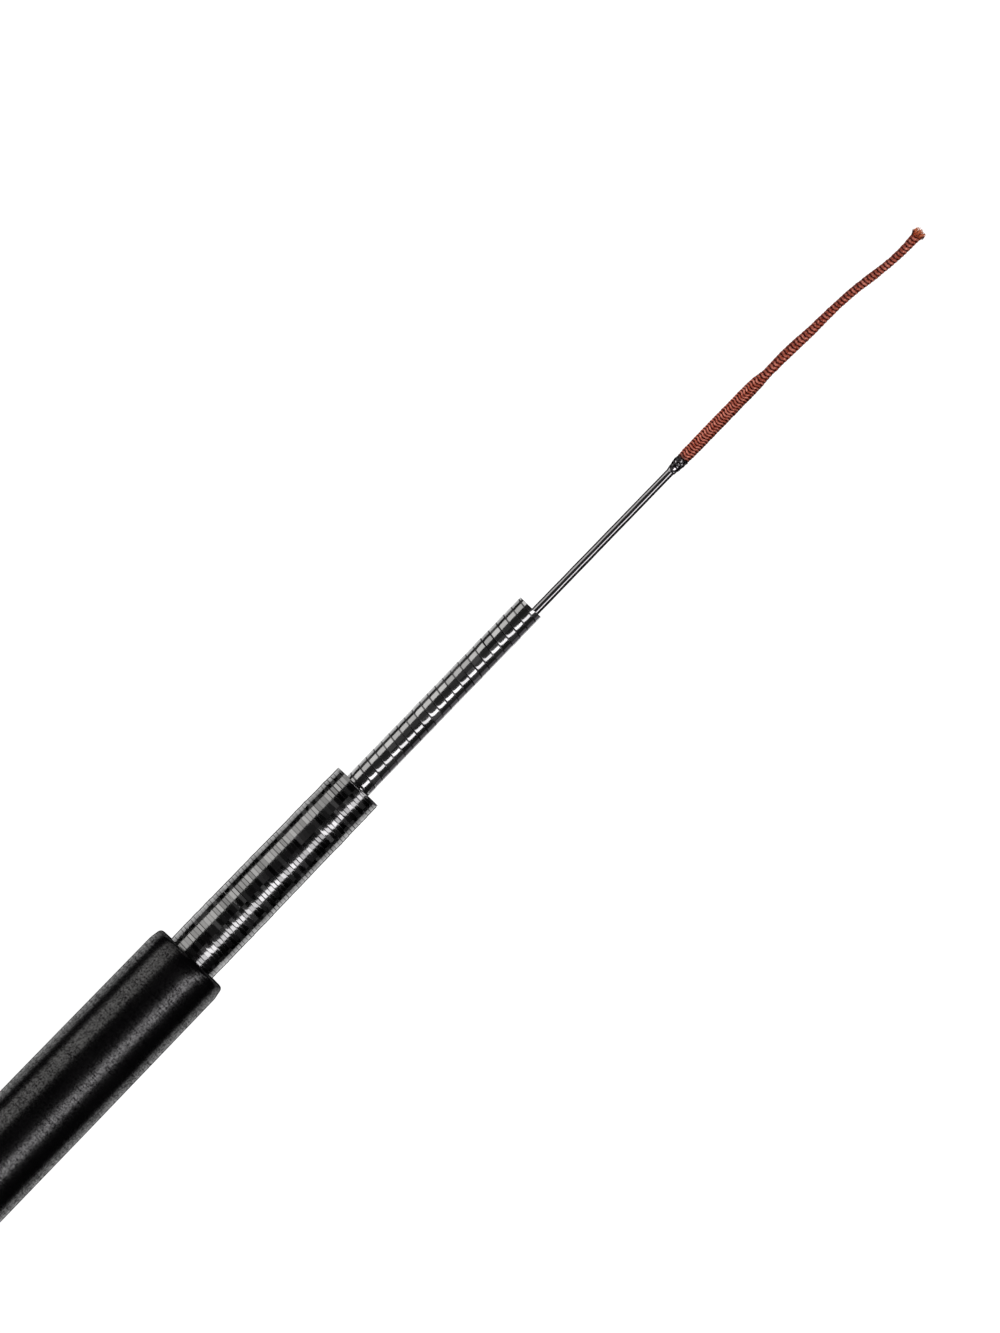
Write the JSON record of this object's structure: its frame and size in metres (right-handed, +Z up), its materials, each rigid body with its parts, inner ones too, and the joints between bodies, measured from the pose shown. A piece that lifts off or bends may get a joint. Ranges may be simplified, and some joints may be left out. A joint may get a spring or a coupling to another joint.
{
  "type": "telescopic pole rod",
  "caption": "Telescopic fishing pole rod, closed: matte black butt with grip and screw cap, nested gloss carbon sections, a solid tip and a knitted cord end for tying the line.",
  "frame": {"origin": "centre of the flat end face of the butt cap", "axes": "+X along the pole from the butt cap towards the tip and the lillian, +Z up with the pole lying on a level surface, +Y to the side"},
  "size_m": [1.153, 0.0152, 0.0152],
  "materials": {
    "butt_paint": "matte black paint with fine rings round the blank",
    "grip_rubber": "matte shrunk rubber with a raised diamond pattern",
    "ring_metal": "satin grey anodised",
    "collar_alloy": "bright turned",
    "cap_alloy": "black anodised, knurled",
    "seal_rubber": "moulded",
    "cushion_rubber": "moulded",
    "carbon_three": "gloss lacquer over tape-wound carbon",
    "carbon_two": "gloss lacquer over tape-wound carbon, ringed",
    "carbon_tip": "gloss lacquer, ground smooth",
    "whipping_glue": "gloss glue over black thread",
    "lillian_cord": "rust red knitted cord with a melted end"
  },
  "bodies": {
    "butt": {"butt_tube": "butt_paint", "grip_sleeve": "grip_rubber", "grip_ring": "ring_metal", "butt_collar": "collar_alloy"},
    "cap_seal": {"cap_oring": "seal_rubber"},
    "cap": {"butt_cap": "cap_alloy", "cap_cushion": "cushion_rubber"},
    "section_three": {"section_three": "carbon_three"},
    "section_two": {"section_two": "carbon_two"},
    "tip": {"tip_blank": "carbon_tip", "tip_whipping": "whipping_glue", "lillian": "lillian_cord"}
  },
  "joints": [
    {"name": "cap_travel", "type": "slide", "parent": "butt", "child": "cap_seal", "axis": [-1, 0, 0], "range_m": [0, 0.0075]},
    {"name": "cap_turn", "type": "hinge", "parent": "cap_seal", "child": "cap", "pos_m": [0, 0, 0], "axis": [-1, 0, 0], "range_deg": [0, 1800]},
    {"name": "section_three_slide", "type": "slide", "parent": "butt", "child": "section_three", "axis": [1, 0, 0], "range_m": [0, 0.9432]},
    {"name": "section_two_slide", "type": "slide", "parent": "section_three", "child": "section_two", "axis": [1, 0, -0.0008], "range_m": [0, 0.9771]},
    {"name": "tip_slide", "type": "slide", "parent": "section_two", "child": "tip", "axis": [1, 0.0001, -0.0016], "range_m": [0, 1.012]}
  ],
  "couplings": [
    {"joint": "cap_turn", "follows": "cap_travel", "rad_per_m": 4188.8}
  ]
}
